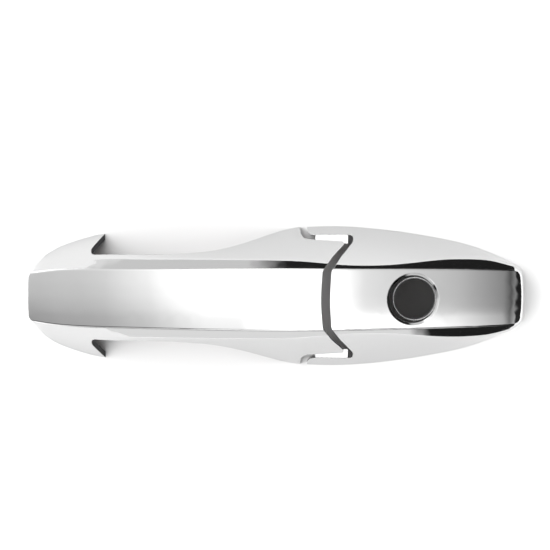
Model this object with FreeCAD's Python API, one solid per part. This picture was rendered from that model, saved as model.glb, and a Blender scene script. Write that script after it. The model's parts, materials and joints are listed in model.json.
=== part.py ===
import FreeCAD, Part
import math
import os

os.makedirs("parts", exist_ok=True)
Vector = FreeCAD.Vector

# Driving dimensions of the plated covers, in millimetres
LENGTH = 215.0
RIM_WIDTH = 60.0
FACE_WIDTH = 25.6
CREST_HEIGHT = 27.2
WALL = 2.0
FACE_CROWN = 0.35
SHOULDER_SLOPE_DEG = 44.7
CREASE_RADIUS = 1.2
SHOULDER_RADIUS = 3.0

# End walls: they lean inwards with height and bow outwards in plan
NOSE, TAIL = -1, 1
END_LEAN_DEG = {NOSE: 15.0, TAIL: 8.0}
END_BOW_RADIUS = 90.0
END_FLARE_DEG = {NOSE: 42.0, TAIL: 33.0}
CORNER_RADIUS = {NOSE: 4.0, TAIL: 5.0}
CORNER_SHIFT = {NOSE: -1.0, TAIL: 0.1}
EDGE_RADIUS = {NOSE: 1.4, TAIL: 4.2}
END_RUN = 0.06
END_CLEARANCE = 0.1
LEAST_CORNER_CUT = 0.12

# Room for the hand under the strap, seen from the side: the foot's length, the
# rounded corner above its tip as distance from the nose and height, the underside of
# the strap as share of the way from there to its end and height, and that end
FOOT_LENGTH = 34.5
NOTCH_CORNER = (27.1, 8.6)
NOTCH_RADIUS = 2.4
STRAP_UNDERSIDE = [(0.223, 12.9), (0.409, 15.1), (0.584, 14.4), (0.743, 9.0), (0.880, 2.6)]
STRAP_END = (11.0, -0.3)

# Zigzag seam between the two covers, in plan: the grip cover's edge on one half. The
# crease edge is so far in from the face's edge, and the wing from the widest rim
FACE_EDGE_X = 19.2
FACE_EDGE_RADIUS = 120.0
CREASE_EDGE_X, CREASE_EDGE_IN = 20.0, 0.8
WING_BEND_X, WING_BEND_IN = 24.0, 12.6
WING_TIP_X, WING_TIP_IN = 30.5, 6.3
WING_SIDE_IN = 5.1
WING_ROOT_X = 11.1
FACE_GAP = 3.7
TIP_GAP = 2.9
TONGUE_GAP = 1.5
TONGUE_END_GAP = 2.8
CREASE_EDGE_RADIUS = 3.0
WING_BEND_RADIUS = 8.0
WING_TIP_RADIUS = 0.8
WING_ROOT_RADIUS = 3.2
POCKET_RADIUS = 1.4
TONGUE_END_RADIUS = 2.6

# Returned edges along the seam, and the ledge that the cap's tongue turns in
# under the grip's wing
RETURN_DEPTH = 5.0
RETURN_WALL = 1.6
RETURN_END_IN = 8.0
LEDGE_START_X = 17.4
LEDGE_END_X = 31.4
LEDGE_REACH = 4.2
LEDGE_ROOT = 0.5
LEDGE_THICKNESS = 1.8
LEDGE_CLEARANCE = 0.35

# Keyhole: a cone that narrows to a level lip, then a short straight bore
KEYHOLE_X = 58.8
KEYHOLE_RADIUS = 8.5
KEYHOLE_LIP = 0.5
KEYHOLE_DEPTH = 3.0
KEYHOLE_CONE_DEG = 24.0
KEYHOLE_LAND = 2.0
COLLAR_WALL = 1.6
KEYHOLE_EDGE_CUT = 0.7

# Foam tape strips on the inside of the face, and their release liners: what each is
# measured from, how far along it starts from there, and its length
TAPE_THICKNESS = 0.8
LINER_THICKNESS = 0.15
TAPE_WIDTH = 12.0
TAPES = {"grip_front": ("nose", 9.5, 34.0), "grip_rear": ("seam", -69.2, 56.0),
         "cap_front": ("seam", 8.8, 16.0), "cap_rear": ("tail", -33.0, 22.0)}

# Long form, one row a station: place along the half length, then the rim's half
# width, the face's half width and the face's height as shares of their largest, the
# width in millimetres of the sloping shoulder beside the face, and by how many
# degrees that shoulder is less steep there
STATIONS = [
    (-1.060, 0.300, 0.660, 0.170, 0.5, 0.0),
    (-1.000, 0.370, 0.750, 0.225, 0.6, 0.0),
    (-0.940, 0.530, 0.835, 0.305, 0.8, 0.0),
    (-0.875, 0.680, 0.900, 0.390, 1.3, 0.0),
    (-0.800, 0.785, 0.938, 0.482, 2.6, 0.0),
    (-0.710, 0.873, 0.953, 0.588, 4.0, 0.0),
    (-0.560, 0.900, 0.961, 0.731, 4.3, 0.0),
    (-0.370, 0.893, 0.977, 0.864, 4.3, 0.0),
    (-0.185, 0.907, 0.992, 0.952, 4.1, 0.0),
    (0.000, 0.953, 1.000, 0.993, 3.8, 0.0),
    (0.120, 0.987, 1.000, 1.000, 3.3, 0.0),
    (0.240, 1.000, 0.992, 0.985, 2.2, 0.0),
    (0.370, 0.975, 0.977, 0.940, 1.9, 0.0),
    (0.510, 0.918, 0.969, 0.860, 2.7, 0.9),
    (0.650, 0.834, 0.953, 0.754, 4.4, 1.9),
    (0.770, 0.738, 0.938, 0.645, 4.9, 2.7),
    (0.870, 0.612, 0.922, 0.530, 4.2, 3.4),
    (0.940, 0.500, 0.906, 0.437, 2.6, 3.8),
    (1.000, 0.385, 0.860, 0.345, 0.9, 4.0),
    (1.050, 0.275, 0.600, 0.265, 0.4, 4.0),
]

# How far cutting bodies run past what they cut
PAST = 5.0

half_length = LENGTH / 2
anchors = {"nose": -half_length, "seam": FACE_EDGE_X, "tail": half_length}
crease_edge = (CREASE_EDGE_X, FACE_WIDTH / 2 - CREASE_EDGE_IN)
wing_bend = (WING_BEND_X, RIM_WIDTH / 2 - WING_BEND_IN)
wing_tip = (WING_TIP_X, RIM_WIDTH / 2 - WING_TIP_IN)
wing_side_y = RIM_WIDTH / 2 - WING_SIDE_IN
return_end_y = RIM_WIDTH / 2 - RETURN_END_IN


def crossing(first, second):
    """Point where two lines of the section plane meet, each a point and a direction."""
    (a, da), (b, db) = first, second
    spread = da[0] * db[1] - da[1] * db[0]
    along = ((b[0] - a[0]) * db[1] - (b[1] - a[1]) * db[0]) / spread
    return a[0] + along * da[0], a[1] + along * da[1]


def moved_in(start, end, inset):
    """Line from start to end, moved towards the inside of the section."""
    run = (end[0] - start[0], end[1] - start[1])
    size = math.hypot(*run)
    inward = (run[1] / size, -run[0] / size)
    return (start[0] + inset * inward[0], start[1] + inset * inward[1]), run


def depth_behind(line, point):
    """How far a point lies outside a line of the section."""
    (a, run) = line
    return ((point[1] - a[1]) * run[0] - (point[0] - a[0]) * run[1]) / math.hypot(*run)


def rounded(before, corner, after, radius):
    """Start, middle and end of the arc that rounds a corner."""
    to_before = (before[0] - corner[0], before[1] - corner[1])
    to_after = (after[0] - corner[0], after[1] - corner[1])
    size_before = math.hypot(*to_before)
    size_after = math.hypot(*to_after)
    unit_before = (to_before[0] / size_before, to_before[1] / size_before)
    unit_after = (to_after[0] / size_after, to_after[1] / size_after)
    cosine = unit_before[0] * unit_after[0] + unit_before[1] * unit_after[1]
    half_angle = math.acos(cosine) / 2
    reach = min(radius / math.tan(half_angle), 0.45 * size_before, 0.45 * size_after)
    radius = reach * math.tan(half_angle)
    start = (corner[0] + reach * unit_before[0], corner[1] + reach * unit_before[1])
    end = (corner[0] + reach * unit_after[0], corner[1] + reach * unit_after[1])
    middle_way = (unit_before[0] + unit_after[0], unit_before[1] + unit_after[1])
    middle_size = math.hypot(*middle_way)
    depth = radius / math.sin(half_angle) - radius
    middle = (corner[0] + depth * middle_way[0] / middle_size,
              corner[1] + depth * middle_way[1] / middle_size)
    return start, middle, end


def section(station, inset):
    """Closed cross-section at one station, moved in by inset and run past the rims."""
    place, rim_share, face_share, height_share, shoulder, eased = station
    x = place * half_length
    rim = rim_share * RIM_WIDTH / 2
    face = face_share * FACE_WIDTH / 2
    height = height_share * CREST_HEIGHT
    drop = shoulder * math.tan(math.radians(SHOULDER_SLOPE_DEG - eased))
    top = (0.0, height + FACE_CROWN)
    crease = (face, height - FACE_CROWN)
    knee = (face + shoulder, height - FACE_CROWN - drop)
    foot = (rim, 0.0)

    face_line = moved_in(top, crease, inset)
    flank_line = moved_in(knee, foot, inset)
    shoulder_line = moved_in(crease, knee, inset)
    cut_off = depth_behind(shoulder_line, crossing(face_line, flank_line))
    if cut_off < LEAST_CORNER_CUT:
        shoulder_line = moved_in(crease, knee, inset + LEAST_CORNER_CUT - cut_off)
    top = crossing(face_line, ((0.0, 0.0), (0.0, 1.0)))
    crease = crossing(face_line, shoulder_line)
    knee = crossing(shoulder_line, flank_line)
    foot = crossing(flank_line, ((0.0, -PAST), (1.0, 0.0)))

    def at(point, side=1):
        return Vector(x, side * point[0], point[1])

    if inset > 0:
        # The inside has sharp corners and no crown
        half = [foot, knee, crease]
        return Part.makePolygon([at(point) for point in half] + [at(point, -1) for point in half[::-1]]
                                + [at(foot)])

    def blend(*poles):
        curve = Part.BezierCurve()
        curve.setPoles(list(poles))
        return curve.toShape()

    def straight(start, end, side):
        return Part.LineSegment(at(start, side), at(end, side)).toShape()

    face_end, shoulder_start = rounded(top, crease, knee, CREASE_RADIUS)[::2]
    shoulder_end, flank_start = rounded(crease, knee, foot, SHOULDER_RADIUS)[::2]
    edges = [
        Part.LineSegment(at(foot, -1), at(foot)).toShape(),
        straight(foot, flank_start, 1),
        blend(at(flank_start), at(knee), at(shoulder_end)),
        straight(shoulder_end, shoulder_start, 1),
        blend(at(shoulder_start), at(crease), at(face_end)),
        blend(at(face_end), at(top), at(face_end, -1)),
        blend(at(face_end, -1), at(crease, -1), at(shoulder_start, -1)),
        straight(shoulder_start, shoulder_end, -1),
        blend(at(shoulder_end, -1), at(knee, -1), at(flank_start, -1)),
        straight(flank_start, foot, -1),
    ]
    return Part.Wire(edges)


def station_at(place):
    """The station row at one place along the half length."""
    return min(STATIONS, key=lambda row: abs(row[0] - place))


def end_lines(side, inset):
    """Plan lines of one end's wall and of its flank, for the end on the +X side."""
    rim = station_at(side)[1] * RIM_WIDTH / 2 + CORNER_SHIFT[side]
    angle = math.radians(END_FLARE_DEG[side])
    wall = ((half_length - inset, 0.0), (0.0, 1.0))
    away = (math.sin(angle), math.cos(angle))
    flank = ((half_length - inset * away[0], rim - inset * away[1]), (-math.cos(angle), math.sin(angle)))
    return wall, flank


def end_outline(side, inset, height):
    """Plan outline of the block that shapes one end, at one height."""
    wall, flank = end_lines(side, inset + math.tan(math.radians(END_LEAN_DEG[side])) * height)
    corner = crossing(wall, flank)
    far = crossing(flank, ((0.0, RIM_WIDTH), (1.0, 0.0)))
    bow = END_BOW_RADIUS - math.sqrt(END_BOW_RADIUS ** 2 - corner[1] ** 2)

    def at(x, y):
        return Vector(side * x, y, height)

    points = [at(corner[0] - bow, corner[1]), at(*far), at(0, RIM_WIDTH),
              at(0, -RIM_WIDTH), at(far[0], -far[1]), at(corner[0] - bow, -corner[1])]
    edges = [Part.LineSegment(a, b).toShape() for a, b in zip(points, points[1:])]
    edges.append(Part.Arc(points[-1], at(corner[0], 0), points[0]).toShape())
    return Part.Wire(edges)


def filleted(block, radius, edges):
    """Block with rounded edges, left sharp where the inset has used up the radius."""
    return block.makeFillet(radius, edges) if radius > 0 else block


def end_block(side, inset):
    """Block whose rounded end gives one end wall its form."""
    here = station_at(side)
    inboard = station_at(side * (1 - END_RUN))
    slope = (inboard[3] - here[3]) * CREST_HEIGHT / (abs(here[0] - inboard[0]) * half_length)
    end_height = here[3] * CREST_HEIGHT + END_CLEARANCE - inset * math.hypot(1, slope)
    floor = -2 * PAST
    ceiling = CREST_HEIGHT + PAST
    block = Part.makeLoft([end_outline(side, inset, floor), end_outline(side, inset, ceiling)], True, True)
    reach = half_length + PAST
    under = Part.makePolygon([
        Vector(-side * PAST, -2 * RIM_WIDTH, floor - PAST),
        Vector(side * reach, -2 * RIM_WIDTH, floor - PAST),
        Vector(side * reach, -2 * RIM_WIDTH, end_height - slope * PAST),
        Vector(-side * PAST, -2 * RIM_WIDTH, end_height + slope * reach),
        Vector(-side * PAST, -2 * RIM_WIDTH, floor - PAST)])
    block = block.common(Part.Face(under).extrude(Vector(0, 4 * RIM_WIDTH, 0))).Solids[0]
    corners = [edge for edge in block.Edges
               if edge.BoundBox.ZLength > 2 * edge.BoundBox.YLength
               and side * edge.BoundBox.Center.x > half_length - RIM_WIDTH / 4
               and abs(edge.BoundBox.Center.y) > 1]
    block = filleted(block, CORNER_RADIUS[side] - inset, corners)
    top = [edge for edge in block.Edges
           if edge.BoundBox.ZMin > 0 and abs(edge.BoundBox.Center.y) < 1
           and side * edge.BoundBox.Center.x > half_length - RIM_WIDTH / 4]
    return filleted(block, EDGE_RADIUS[side] - inset, top)


def form(inset):
    """The whole outer form moved in by inset, as one closed body that runs past the rims."""
    body = Part.makeLoft([section(station, inset) for station in STATIONS], True, False)
    for side in (NOSE, TAIL):
        around = Part.makeBox(2 * LENGTH, 4 * RIM_WIDTH, 4 * CREST_HEIGHT,
                              Vector(min(0, side * 2 * LENGTH), -2 * RIM_WIDTH, -3 * PAST))
        body = body.cut(around.cut(end_block(side, inset)))
    return body.Solids[0]


def face_height(x):
    """Height of the face's middle line at x, between its two nearest stations."""
    place = x / half_length
    for low, high in zip(STATIONS, STATIONS[1:]):
        if low[0] <= place <= high[0]:
            share = (place - low[0]) / (high[0] - low[0])
            return (low[3] + share * (high[3] - low[3])) * CREST_HEIGHT
    raise ValueError("x lies past the stations")


def flank_at(x):
    """Rim half width and slope of the flank, rise over run, at the station nearest to x."""
    rim_share, face_share, height_share, shoulder, eased = station_at(x / half_length)[1:]
    drop = shoulder * math.tan(math.radians(SHOULDER_SLOPE_DEG - eased))
    rim = rim_share * RIM_WIDTH / 2
    run = rim - face_share * FACE_WIDTH / 2 - shoulder
    return rim, (height_share * CREST_HEIGHT - FACE_CROWN - drop) / run


def hand_room():
    """Body of the space for the hand under the strap."""
    def at(point):
        return Vector(point[0], -RIM_WIDTH, point[1])

    tip = (anchors["nose"] + FOOT_LENGTH, 0.0)
    corner = (anchors["nose"] + NOTCH_CORNER[0], NOTCH_CORNER[1])
    way = STRAP_END[0] - corner[0]
    points = [(corner[0] + share * way, height) for share, height in STRAP_UNDERSIDE] + [STRAP_END]
    back = rounded(tip, corner, points[0], NOTCH_RADIUS)
    start = crossing((tip, (tip[0] - corner[0], tip[1] - corner[1])), ((0.0, -PAST), (1.0, 0.0)))
    underside = Part.BSplineCurve()
    underside.interpolate([at(back[2])] + [at(point) for point in points])
    closing = [at(STRAP_END), at((STRAP_END[0], -PAST)), at(start), at(back[0])]
    edges = [Part.LineSegment(a, b).toShape() for a, b in zip(closing, closing[1:])]
    edges += [Part.Arc(*[at(point) for point in back]).toShape(), underside.toShape()]
    return Part.Face(Part.Wire(Part.__sortEdges__(edges))).extrude(Vector(0, 2 * RIM_WIDTH, 0))


def turned(profile):
    """Solid of revolution about the keyhole's axis from radius and height points."""
    points = [Vector(KEYHOLE_X + radius, 0, height) for radius, height in profile]
    face = Part.Face(Part.makePolygon(points + points[:1]))
    return face.revolve(Vector(KEYHOLE_X, 0, 0), Vector(0, 0, 1), 360)


def with_keyhole(hollow, outer):
    """The hollow form with the keyhole's collar added and its opening cut and its edge eased."""
    lip_height = face_height(KEYHOLE_X) - KEYHOLE_DEPTH
    lip_radius = KEYHOLE_RADIUS + KEYHOLE_LIP
    cone_rise = CREST_HEIGHT
    cone_top = lip_height + cone_rise
    spread = cone_rise * math.tan(math.radians(KEYHOLE_CONE_DEG))
    opening = turned([(0, -PAST), (KEYHOLE_RADIUS, -PAST), (KEYHOLE_RADIUS, lip_height),
                      (lip_radius, lip_height), (lip_radius + spread, cone_top), (0, cone_top)])
    collar_radius = lip_radius + COLLAR_WALL
    collar = turned([(KEYHOLE_LIP, lip_height - KEYHOLE_LAND), (collar_radius, lip_height - KEYHOLE_LAND),
                     (collar_radius, lip_height), (collar_radius + spread, cone_top),
                     (KEYHOLE_LIP, cone_top)])
    holed = hollow.fuse(collar.common(outer)).cut(opening).Solids[0]
    mouth = [edge for edge in holed.Edges
             if edge.BoundBox.ZMin > lip_height + KEYHOLE_LIP and edge.BoundBox.XLength > lip_radius
             and edge.BoundBox.YLength < FACE_WIDTH
             and abs(edge.BoundBox.Center.x - KEYHOLE_X) < KEYHOLE_DEPTH]
    return holed.makeChamfer(KEYHOLE_EDGE_CUT, mouth)


def path(points, radii):
    """Edges along a plan line through points, its inner corners rounded by radii."""
    edges = []
    start = points[0]
    for before, corner, after, radius in zip(points, points[1:], points[2:], radii):
        turn = rounded(before, corner, after, radius)
        edges.append(Part.LineSegment(Vector(*start), Vector(*turn[0])).toShape())
        edges.append(Part.Arc(*[Vector(*point) for point in turn]).toShape())
        start = turn[2]
    edges.append(Part.LineSegment(Vector(*start), Vector(*points[-1])).toShape())
    return edges


def plan_region(half, radii, middle_x, far_x):
    """Tall body between a seam line, given by its half on +Y, and a far plane."""
    points = half + [(middle_x, 0.0)] + [(x, -y) for x, y in half[::-1]]
    edges = path(points, radii + [FACE_EDGE_RADIUS] + radii[::-1])
    corners = [points[-1], (far_x, points[-1][1]), (far_x, points[0][1]), points[0]]
    edges += [Part.LineSegment(Vector(*a), Vector(*b)).toShape() for a, b in zip(corners, corners[1:])]
    body = Part.Face(Part.Wire(edges)).extrude(Vector(0, 0, 2 * CREST_HEIGHT))
    body.translate(Vector(0, 0, -CREST_HEIGHT / 2))
    return body


def grip_region():
    """Plan of the grip cover, with a wing beside each half of the cap."""
    half = [(WING_ROOT_X, RIM_WIDTH), (WING_ROOT_X, wing_side_y), wing_tip, wing_bend, crease_edge]
    radii = [WING_ROOT_RADIUS, WING_TIP_RADIUS, WING_BEND_RADIUS, CREASE_EDGE_RADIUS]
    return plan_region(half, radii, FACE_EDGE_X, -LENGTH)


def cap_region():
    """Plan of the end cap, with a pocket and a tongue round each wing."""
    tongue_y = wing_side_y + TONGUE_GAP
    tongue_x = WING_ROOT_X + TONGUE_END_GAP
    pocket_x = WING_TIP_X + TIP_GAP
    half = [(tongue_x, RIM_WIDTH), (tongue_x, tongue_y), (pocket_x, tongue_y), (pocket_x, wing_tip[1]),
            (WING_BEND_X + FACE_GAP, wing_bend[1]), (CREASE_EDGE_X + FACE_GAP, crease_edge[1])]
    radii = [TONGUE_END_RADIUS, POCKET_RADIUS, POCKET_RADIUS, WING_BEND_RADIUS, CREASE_EDGE_RADIUS]
    return plan_region(half, radii, FACE_EDGE_X + FACE_GAP, LENGTH)


def returned_edge(rind, region, shift):
    """Deep wall along the seam edge of one cover, between its two wings or pockets."""
    strip = region.cut(region.translated(Vector(shift, 0, 0)))
    between = Part.makeBox(2 * LENGTH, 2 * return_end_y, 2 * CREST_HEIGHT,
                           Vector(-LENGTH, -return_end_y, 0))
    return rind.common(strip).common(between)


def tongue_ledges(outer):
    """Level ledge on each tongue, reaching under the wing beside it."""
    share = (LEDGE_START_X - WING_ROOT_X) / (WING_TIP_X - WING_ROOT_X)
    wing_edge_y = wing_side_y + share * (wing_tip[1] - wing_side_y)
    rim, slope = flank_at(LEDGE_START_X)
    wing_underside = (rim - wing_edge_y) * slope - WALL * math.hypot(1, slope)
    top = wing_underside - LEDGE_CLEARANCE
    root_y = wing_side_y + TONGUE_GAP + LEDGE_ROOT
    ledges = []
    for y in (root_y - LEDGE_REACH, -root_y):
        ledge = Part.makeBox(LEDGE_END_X - LEDGE_START_X, LEDGE_REACH, LEDGE_THICKNESS,
                             Vector(LEDGE_START_X, y, top - LEDGE_THICKNESS))
        ledges.append(ledge.common(outer))
    return ledges


def layer(above, under, start, length):
    """Strip between two nested forms, across the middle of the face."""
    strip = Part.makeBox(length, TAPE_WIDTH, 2 * CREST_HEIGHT, Vector(start, -TAPE_WIDTH / 2, 0))
    return above.common(strip).cut(under)


def write(name, shape):
    """Write one node's solid to its own file."""
    solid = shape.Solids[0]
    print(name, len(shape.Solids), solid.isValid(), round(solid.Volume, 1))
    solid.exportStep("parts/" + name + ".step")


above_rims = Part.makeBox(2 * LENGTH, 4 * RIM_WIDTH, 2 * CREST_HEIGHT, Vector(-LENGTH, -2 * RIM_WIDTH, 0))
outer = form(0.0).common(above_rims)
inner = form(WALL)
rind = outer.cut(form(RETURN_DEPTH))
hollow = with_keyhole(outer.cut(inner), outer).cut(hand_room())

grip_plan = grip_region()
grip = hollow.common(grip_plan).fuse(returned_edge(rind, grip_plan, -RETURN_WALL))
write("grip_cover", grip.removeSplitter())

cap_plan = cap_region()
cap = hollow.common(cap_plan).fuse(returned_edge(rind, cap_plan, RETURN_WALL))
for ledge in tongue_ledges(outer):
    cap = cap.fuse(ledge)
write("end_cap_cover", cap.removeSplitter())
print("closest approach of the two covers", round(grip.distToShape(cap)[0], 3))

under_tape = form(WALL + TAPE_THICKNESS)
under_liner = form(WALL + TAPE_THICKNESS + LINER_THICKNESS)
for name, (anchor, offset, length) in TAPES.items():
    start = anchors[anchor] + offset
    write(name + "_tape", layer(inner, under_tape, start, length))
    write(name + "_liner", layer(under_tape, under_liner, start, length))
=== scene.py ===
import json
import math

import bpy
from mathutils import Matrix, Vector


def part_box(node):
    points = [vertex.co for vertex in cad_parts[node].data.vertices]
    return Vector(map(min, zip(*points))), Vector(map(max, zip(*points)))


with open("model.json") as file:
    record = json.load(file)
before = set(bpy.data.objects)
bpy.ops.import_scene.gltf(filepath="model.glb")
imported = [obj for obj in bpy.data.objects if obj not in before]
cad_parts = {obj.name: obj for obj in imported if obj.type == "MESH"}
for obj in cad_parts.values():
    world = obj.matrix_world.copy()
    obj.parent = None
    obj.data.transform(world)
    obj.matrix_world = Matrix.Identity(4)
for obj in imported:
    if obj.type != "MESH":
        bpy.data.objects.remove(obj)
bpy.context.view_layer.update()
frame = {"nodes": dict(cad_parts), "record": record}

# Photograph's frame: pixels a side, the real size of a pixel at the table, and where the
# middle of the object lies in it
FRAME_PIXELS = 550
PIXEL = 0.215 / 499
OBJECT_CENTRE_PX = (274.7, 295.8)

# Camera: distance from the table, lean from straight above, and sensor
CAMERA_DISTANCE = 0.80
CAMERA_TILT_DEG = 3.0
SENSOR_MM = 36.0

# White sheet that the object lies on: how far it reaches from the middle, and how far
# under the object it lies
SHEET_HALF_LENGTH = 0.60
SHEET_NEAR, SHEET_FAR = 0.14, 1.0
SHEET_DROP = 0.0001

# Plating: its brightness in the open, and the painted shade deep in a crevice, and how
# open to the sky a place is where each begins
PLATING_LEVEL, CREVICE_SHADE_LEVEL = 0.62, 0.12
OPEN_FROM, DEEP_FROM = 0.5, 0.15
CREVICE_SHADE_REACH = 0.004
PLATING_ROUGHNESS = 0.03
EDGE_SOFTNESS = 0.0003

# Faint waves in the plating: how many to the metre and how high, on the face and on the
# steep sides, and how upright the surface's normal is on each
WAVES_PER_METRE = 110.0
FACE_WAVES, SIDE_WAVES = 0.000015, 0.00005
FACE_UPRIGHT, SIDE_UPRIGHT = 0.92, 0.75

# Dark plastic where the plating ends: bare plastic, its darkness also painted shade, at what faces
# the object's long axis from so far out and in the key opening; painted shade on the rear cut of the foot so
# far from the nose
PLASTIC_AND_SHADE_COLOUR = (0.035, 0.035, 0.036, 1)
PLASTIC_ROUGHNESS = 0.45
INWARD_REACH = 0.0004
FOOT_SHADE_FROM_NOSE = 0.0305
FOOT_SHADE_REACH = 0.006
FOOT_SHADE_FACING = 0.5
KEY_EDGE_WIDTH = 0.0004

# Foam tape and its release film
CELLS_PER_METRE, CELL_DEPTH, CELL_STRENGTH = 2500.0, 0.0002, 0.8
FOAM_DARK, FOAM_PALE = 0.012, 0.035
FOAM_ROUGHNESS = 0.9
RIPPLES_PER_METRE, RIPPLE_DEPTH, RIPPLE_STRENGTH = 300.0, 0.0003, 0.5
FILM_DARK, FILM_PALE = (0.20, 0.012, 0.012, 1), (0.30, 0.02, 0.02, 1)
FILM_ROUGHNESS = [(0, 0.25), (1, 0.5)]

# Card of light beyond the tail: size, place and aim in metres, and strength
CARD_SIZE = (0.06, 0.12)
CARD_PLACE = Vector((0.19, 0.0, 0.05))
CARD_AIM = Vector((0.112, 0.0, 0.0))
CARD_WATTS = 0.12

# What the plating mirrors overhead: level by angle from straight up along the handle,
# in degrees, negative towards the nose
ALONG = [(-90, 2.4), (-66, 2.4), (-58, 1.3), (-46, 0.80), (-34, 0.98), (-25, 1.35), (-16, 2.2), (0, 2.4),
         (7, 2.2), (15, 1.23), (25, 0.97), (38, 0.58), (44, 0.38), (46.6, 0.12), (47.7, 0.36), (48.0, 0.3),
         (48.4, 0.02), (90, 0.02)]
# How that fades across the handle, by direction from the near to the far side, on the
# nose's half and on the tail's half, and where the one passes into the other
NOSE_FADE = [(-0.66, 0.8), (-0.62, 0.02), (-0.5, 0.02), (-0.4, 0.5), (-0.18, 0.62), (-0.05, 0.97),
             (0.06, 1.1), (0.5, 1.3)]
TAIL_FADE = [(-0.66, 1.4), (-0.62, 0.02), (-0.5, 0.02), (-0.4, 2.2), (-0.2, 2.2), (-0.15, 1.7),
             (-0.12, 1.25), (-0.09, 1.05), (-0.05, 1.0), (0.5, 1.0)]
NOSE_TO_TAIL = [(-0.15, 0), (0.15, 1)]
# What it mirrors at the far and near sides, by direction along the handle: above the
# horizon, and below it past the edge of the sheet
FAR_ABOVE = [(-1, 0.9), (-0.08, 0.88), (-0.02, 0.02), (1, 0.02)]
FAR_BELOW = [(-1, 1.1), (-0.3, 1.1), (-0.2, 0.02), (1, 0.02)]
NEAR_ABOVE = [(-1, 1.2), (-0.5, 1.2), (-0.4, 0.02), (1, 0.02)]
NEAR_BELOW = [(-1, 1.1), (0.24, 1.1), (0.28, 0.02), (1, 0.02)]
# Directions where the sides begin and are full, and how sharp their horizon is
SIDE_FROM, SIDE_TO = 0.78, 0.84
HORIZON = 0.004
# Height of the direction from which the sides are bright walls, and their level
WALLS = [(0.16, 0), (0.26, 1)]
WALL_LEVEL = 0.85

# Light on the table and behind it: level by height of the direction, and its lean by
# direction along the handle
TABLE_LIGHT = [(-0.01, 1.0), (0.0, 11.0), (0.05, 24.0), (0.35, 24.0), (0.55, 3.5), (0.8, 0.8), (1.0, 0.6)]
TABLE_LEAN = [(-1, 1), (-0.4, 0.75), (0, 0.26), (0.5, 0.09), (1, 0.08)]

# Colour ramps hold levels up to 1, so levels are kept in them as shares of this one
LEVEL_SCALE = 26.0


class Graph:
    """Short forms for building a node graph."""

    def __init__(self, tree):
        self.tree = tree
        tree.nodes.clear()

    def node(self, kind, **settings):
        made = self.tree.nodes.new(kind)
        for key, value in settings.items():
            setattr(made, key, value)
        return made

    def link(self, start, end):
        self.tree.links.new(start, end)

    def split(self, vector):
        """X, Y and Z of a vector."""
        made = self.node("ShaderNodeSeparateXYZ")
        self.link(vector, made.inputs[0])
        return made.outputs

    def math(self, operation, *values):
        """Result of an operation on numbers and sockets."""
        made = self.node("ShaderNodeMath", operation=operation)
        for socket, value in zip(made.inputs, values):
            if isinstance(value, (int, float)):
                socket.default_value = value
            else:
                self.link(value, socket)
        return made.outputs[0]

    def mix(self, share, first, second):
        """First where share is 0, second where it is 1."""
        made = self.node("ShaderNodeMix", data_type="FLOAT")
        self.link(share, made.inputs[0])
        self.link(first, made.inputs[2])
        self.link(second, made.inputs[3])
        return made.outputs[0]

    def curve(self, value, low, high, points):
        """Function of value over low..high, straight between its (value, level) points."""
        span = self.node("ShaderNodeMapRange")
        self.link(value, span.inputs["Value"])
        span.inputs["From Min"].default_value = low
        span.inputs["From Max"].default_value = high
        ramp = self.node("ShaderNodeValToRGB")
        stops = ramp.color_ramp.elements
        stops.remove(stops[-1])
        for index, (at, level) in enumerate(points):
            place = (at - low) / (high - low)
            stop = stops[0] if index == 0 else stops.new(place)
            stop.position = place
            stop.color = (level, level, level, 1)
        self.link(span.outputs["Result"], ramp.inputs["Fac"])
        return ramp.outputs["Color"]

    def bump(self, height, strength, distance):
        """Bump node for a height socket."""
        made = self.node("ShaderNodeBump")
        made.inputs["Strength"].default_value = strength
        made.inputs["Distance"].default_value = distance
        self.link(height, made.inputs["Height"])
        return made

    def texture(self, kind, per_metre, **settings):
        """Texture node laid through the object's own space."""
        made = self.node(kind, **settings)
        made.inputs["Scale"].default_value = per_metre
        self.link(self.node("ShaderNodeTexCoord").outputs["Object"], made.inputs["Vector"])
        return made

    def show(self, shading, output="ShaderNodeOutputMaterial"):
        """Make this shading the one that the graph gives out."""
        self.link(shading, self.node(output).inputs["Surface"])


def new_material(name):
    """Node material with a principled shader that isn't yet shown."""
    material = bpy.data.materials.new(name)
    material.use_nodes = True
    graph = Graph(material.node_tree)
    return material, graph, graph.node("ShaderNodeBsdfPrincipled")


def waves(graph, upright):
    """Normal with faint waves, higher on the steep sides, over eased edges."""
    noise = graph.texture("ShaderNodeTexNoise", WAVES_PER_METRE)
    noise.inputs["Detail"].default_value = 1.0
    edges = graph.node("ShaderNodeBevel", samples=4)
    edges.inputs["Radius"].default_value = EDGE_SOFTNESS
    share = graph.curve(upright, 0, 1, [(SIDE_UPRIGHT, 1), (FACE_UPRIGHT, FACE_WAVES / SIDE_WAVES)])
    bump = graph.bump(graph.math("MULTIPLY", noise.outputs["Fac"], share), 1.0, SIDE_WAVES)
    graph.link(edges.outputs["Normal"], bump.inputs["Normal"])
    return bump.outputs["Normal"]


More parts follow.
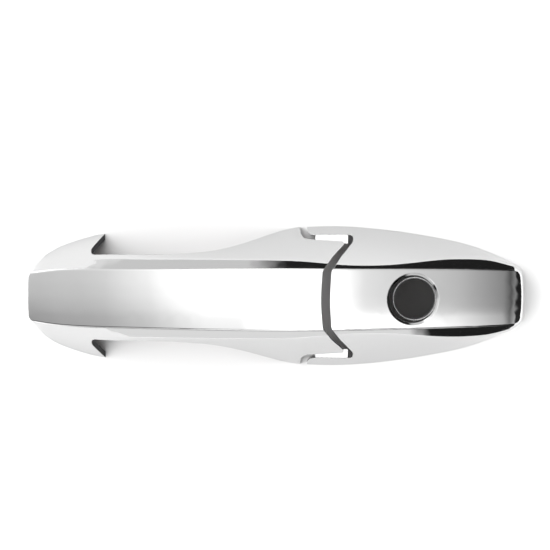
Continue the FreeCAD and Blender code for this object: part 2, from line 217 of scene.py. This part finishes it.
def plastic_and_painted_shade(graph, facing):
    """1 where the dark plastic shows: bare plastic inside and in the key opening, its darkness also painted
    shade, and painted shade on the foot's rear cut.
    """
    x, y, z = graph.split(graph.node("ShaderNodeTexCoord").outputs["Object"])
    across = graph.math("MULTIPLY", y, facing[1])
    upward = graph.math("MULTIPLY", z, facing[2])
    inside = graph.math("LESS_THAN", graph.math("ADD", across, upward), -INWARD_REACH)

    nose_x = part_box("grip_cover")[0][0]
    # Painted shade: the foot's rear cut by the notch is given the dark plastic
    near_foot_shade = graph.math("COMPARE", x, nose_x + FOOT_SHADE_FROM_NOSE, FOOT_SHADE_REACH)
    rear = graph.math("GREATER_THAN", facing[0], FOOT_SHADE_FACING)
    cut = graph.math("MULTIPLY", near_foot_shade, rear)

    key = [mount for mount in frame["record"]["mounts"] if mount["name"] == "key_opening"][0]
    plating_radius = key["dims"]["r_mm"] / 1000 + KEY_EDGE_WIDTH
    from_key = graph.math("POWER", graph.math("SUBTRACT", x, key["pos_m"][0]), 2)
    distance = graph.math("SQRT", graph.math("ADD", from_key, graph.math("POWER", y, 2)))
    in_key = graph.math("LESS_THAN", distance, plating_radius)
    return graph.math("MAXIMUM", graph.math("MAXIMUM", inside, cut), in_key)


def chrome():
    """Bright plating with painted shade in crevices, and dark moulded plastic where it ends, also painted
    shade on the foot's rear cut.
    """
    material, graph, plated = new_material("plating")
    facing = graph.split(graph.node("ShaderNodeNewGeometry").outputs["True Normal"])
    plated.inputs["Metallic"].default_value = 1.0
    plated.inputs["Roughness"].default_value = PLATING_ROUGHNESS
    graph.link(waves(graph, facing[2]), plated.inputs["Normal"])
    # Painted shade: the plating's colour is darkened where ambient occlusion finds little open sky
    crevice_shade = graph.node("ShaderNodeAmbientOcclusion", samples=8)
    crevice_shade.inputs["Distance"].default_value = CREVICE_SHADE_REACH
    levels = [(DEEP_FROM, CREVICE_SHADE_LEVEL), (OPEN_FROM, PLATING_LEVEL)]
    graph.link(graph.curve(crevice_shade.outputs["AO"], 0, 1, levels), plated.inputs["Base Color"])

    # Dark plastic: bare plastic inside and in the key opening, its darkness also painted shade, and painted
    # shade on the foot's rear cut
    plastic = graph.node("ShaderNodeBsdfPrincipled")
    plastic.inputs["Base Color"].default_value = PLASTIC_AND_SHADE_COLOUR
    plastic.inputs["Roughness"].default_value = PLASTIC_ROUGHNESS

    both = graph.node("ShaderNodeMixShader")
    graph.link(plastic_and_painted_shade(graph, facing), both.inputs["Fac"])
    graph.link(plated.outputs["BSDF"], both.inputs[1])
    graph.link(plastic.outputs["BSDF"], both.inputs[2])
    graph.show(both.outputs[0])
    return material


def foam():
    """Black closed-cell foam, matt, with fine cells."""
    material, graph, shader = new_material("foam")
    cells = graph.texture("ShaderNodeTexVoronoi", CELLS_PER_METRE, feature="SMOOTH_F1").outputs["Distance"]
    tone = graph.curve(cells, 0, 1, [(0, FOAM_DARK), (1, FOAM_PALE)])
    graph.link(tone, shader.inputs["Base Color"])
    graph.link(graph.bump(cells, CELL_STRENGTH, CELL_DEPTH).outputs["Normal"], shader.inputs["Normal"])
    shader.inputs["Roughness"].default_value = FOAM_ROUGHNESS
    graph.show(shader.outputs["BSDF"])
    return material


def film():
    """Dark red waxy release film with soft ripples."""
    material, graph, shader = new_material("film")
    ripples = graph.texture("ShaderNodeTexNoise", RIPPLES_PER_METRE).outputs["Fac"]
    tint = graph.node("ShaderNodeValToRGB")
    tint.color_ramp.elements[0].color = FILM_DARK
    tint.color_ramp.elements[1].color = FILM_PALE
    graph.link(ripples, tint.inputs["Fac"])
    graph.link(tint.outputs["Color"], shader.inputs["Base Color"])
    graph.link(graph.curve(ripples, 0, 1, FILM_ROUGHNESS), shader.inputs["Roughness"])
    graph.link(graph.bump(ripples, RIPPLE_STRENGTH, RIPPLE_DEPTH).outputs["Normal"], shader.inputs["Normal"])
    graph.show(shader.outputs["BSDF"])
    return material


def use(material, *nodes):
    """Give CAD nodes this material in all their slots."""
    for node in nodes:
        mesh = frame["nodes"][node].data
        mesh.materials.clear()
        mesh.materials.append(material)


def add_floor():
    """Pale sheet that the object lies on."""
    long = SHEET_HALF_LENGTH
    corners = [(-long, -SHEET_NEAR, 0), (long, -SHEET_NEAR, 0), (long, SHEET_FAR, 0), (-long, SHEET_FAR, 0)]
    mesh = bpy.data.meshes.new("table")
    mesh.from_pydata(corners, [], [(0, 1, 2, 3)])
    floor = bpy.data.objects.new("table", mesh)
    bpy.context.scene.collection.objects.link(floor)
    floor.location.z = -SHEET_DROP
    material, graph, shader = new_material("table_white")
    shader.inputs["Base Color"].default_value = (0.5, 0.5, 0.5, 1)
    shader.inputs["Roughness"].default_value = 0.6
    shader.inputs["Specular IOR Level"].default_value = 0.0
    graph.show(shader.outputs["BSDF"])
    mesh.materials.append(material)


def scaled(points):
    """Points of a curve with their levels as shares of the level scale."""
    return [(at, level / LEVEL_SCALE) for at, level in points]


def mirrored_levels(graph, x, y, z):
    """What the plating mirrors, by direction."""
    degrees = graph.math("MULTIPLY", graph.math("ARCTAN2", x, z), 180 / math.pi)
    along = graph.curve(degrees, -90, 90, scaled(ALONG))
    nose_fade = graph.curve(y, -1, 1, scaled(NOSE_FADE))
    tail_fade = graph.curve(y, -1, 1, scaled(TAIL_FADE))
    fade = graph.mix(graph.curve(x, -1, 1, NOSE_TO_TAIL), nose_fade, tail_fade)
    overhead = graph.math("MULTIPLY", graph.math("MULTIPLY", along, fade), LEVEL_SCALE)

    above = graph.curve(z, -1, 1, [(-HORIZON, 0), (HORIZON, 1)])
    walls = graph.curve(z, -1, 1, WALLS)
    wall_level = graph.math("MULTIPLY", walls, WALL_LEVEL / LEVEL_SCALE)

    def side(below_points, above_points):
        below = graph.curve(x, -1, 1, scaled(below_points))
        low = graph.mix(above, below, graph.curve(x, -1, 1, scaled(above_points)))
        return graph.mix(walls, low, wall_level)

    in_far = graph.curve(y, -1, 1, [(SIDE_FROM, 0), (SIDE_TO, 1)])
    in_near = graph.curve(y, -1, 1, [(-SIDE_TO, 1), (-SIDE_FROM, 0)])
    rest = graph.mix(in_far, overhead, side(FAR_BELOW, FAR_ABOVE))
    return graph.mix(in_near, rest, side(NEAR_BELOW, NEAR_ABOVE))


def light_levels(graph, x, z):
    """Light that falls on what isn't a mirror, by direction."""
    by_height = graph.curve(z, -1, 1, scaled(TABLE_LIGHT))
    return graph.math("MULTIPLY", by_height, graph.curve(x, -1, 1, TABLE_LEAN))


def add_world():
    """Soft studio surroundings: one set of levels for mirrors, one for lighting."""
    world = bpy.data.worlds.new("studio")
    bpy.context.scene.world = world
    world.use_nodes = True
    graph = Graph(world.node_tree)
    x, y, z = graph.split(graph.node("ShaderNodeTexCoord").outputs["Generated"])
    in_mirror = graph.node("ShaderNodeLightPath").outputs["Is Glossy Ray"]
    level = graph.mix(in_mirror, light_levels(graph, x, z), mirrored_levels(graph, x, y, z))
    background = graph.node("ShaderNodeBackground")
    background.inputs["Strength"].default_value = LEVEL_SCALE
    graph.link(level, background.inputs["Color"])
    graph.show(background.outputs[0], "ShaderNodeOutputWorld")


def add_card():
    """Soft light low beyond the tail, so that only a small shadow lies there."""
    data = bpy.data.lights.new("card", "AREA")
    data.shape = "RECTANGLE"
    data.size, data.size_y = CARD_SIZE
    data.energy = CARD_WATTS
    card = bpy.data.objects.new("card", data)
    card.location = CARD_PLACE
    card.rotation_euler = (CARD_AIM - CARD_PLACE).to_track_quat("-Z", "Y").to_euler()
    card.visible_glossy = False
    card.visible_camera = False
    bpy.context.scene.collection.objects.link(card)


def add_camera():
    """Camera almost straight above, leaning a little towards +Y, as in the photograph."""
    middle = FRAME_PIXELS / 2
    target = Vector(((middle - OBJECT_CENTRE_PX[0]) * PIXEL, (OBJECT_CENTRE_PX[1] - middle) * PIXEL, 0))
    tilt = math.radians(CAMERA_TILT_DEG)
    data = bpy.data.cameras.new("camera")
    data.sensor_width = SENSOR_MM
    data.sensor_height = SENSOR_MM
    data.lens = SENSOR_MM * CAMERA_DISTANCE / (FRAME_PIXELS * PIXEL)
    camera = bpy.data.objects.new("camera", data)
    camera.location = target + CAMERA_DISTANCE * Vector((0, math.sin(tilt), math.cos(tilt)))
    camera.rotation_euler = (-tilt, 0, 0)
    bpy.context.scene.collection.objects.link(camera)
    bpy.context.scene.camera = camera


places = ("grip_front", "grip_rear", "cap_front", "cap_rear")
use(chrome(), "grip_cover", "end_cap_cover")
use(foam(), *[place + "_tape" for place in places])
use(film(), *[place + "_liner" for place in places])
add_floor()
add_world()
add_card()
add_camera()
bpy.context.scene.view_settings.view_transform = "Standard"
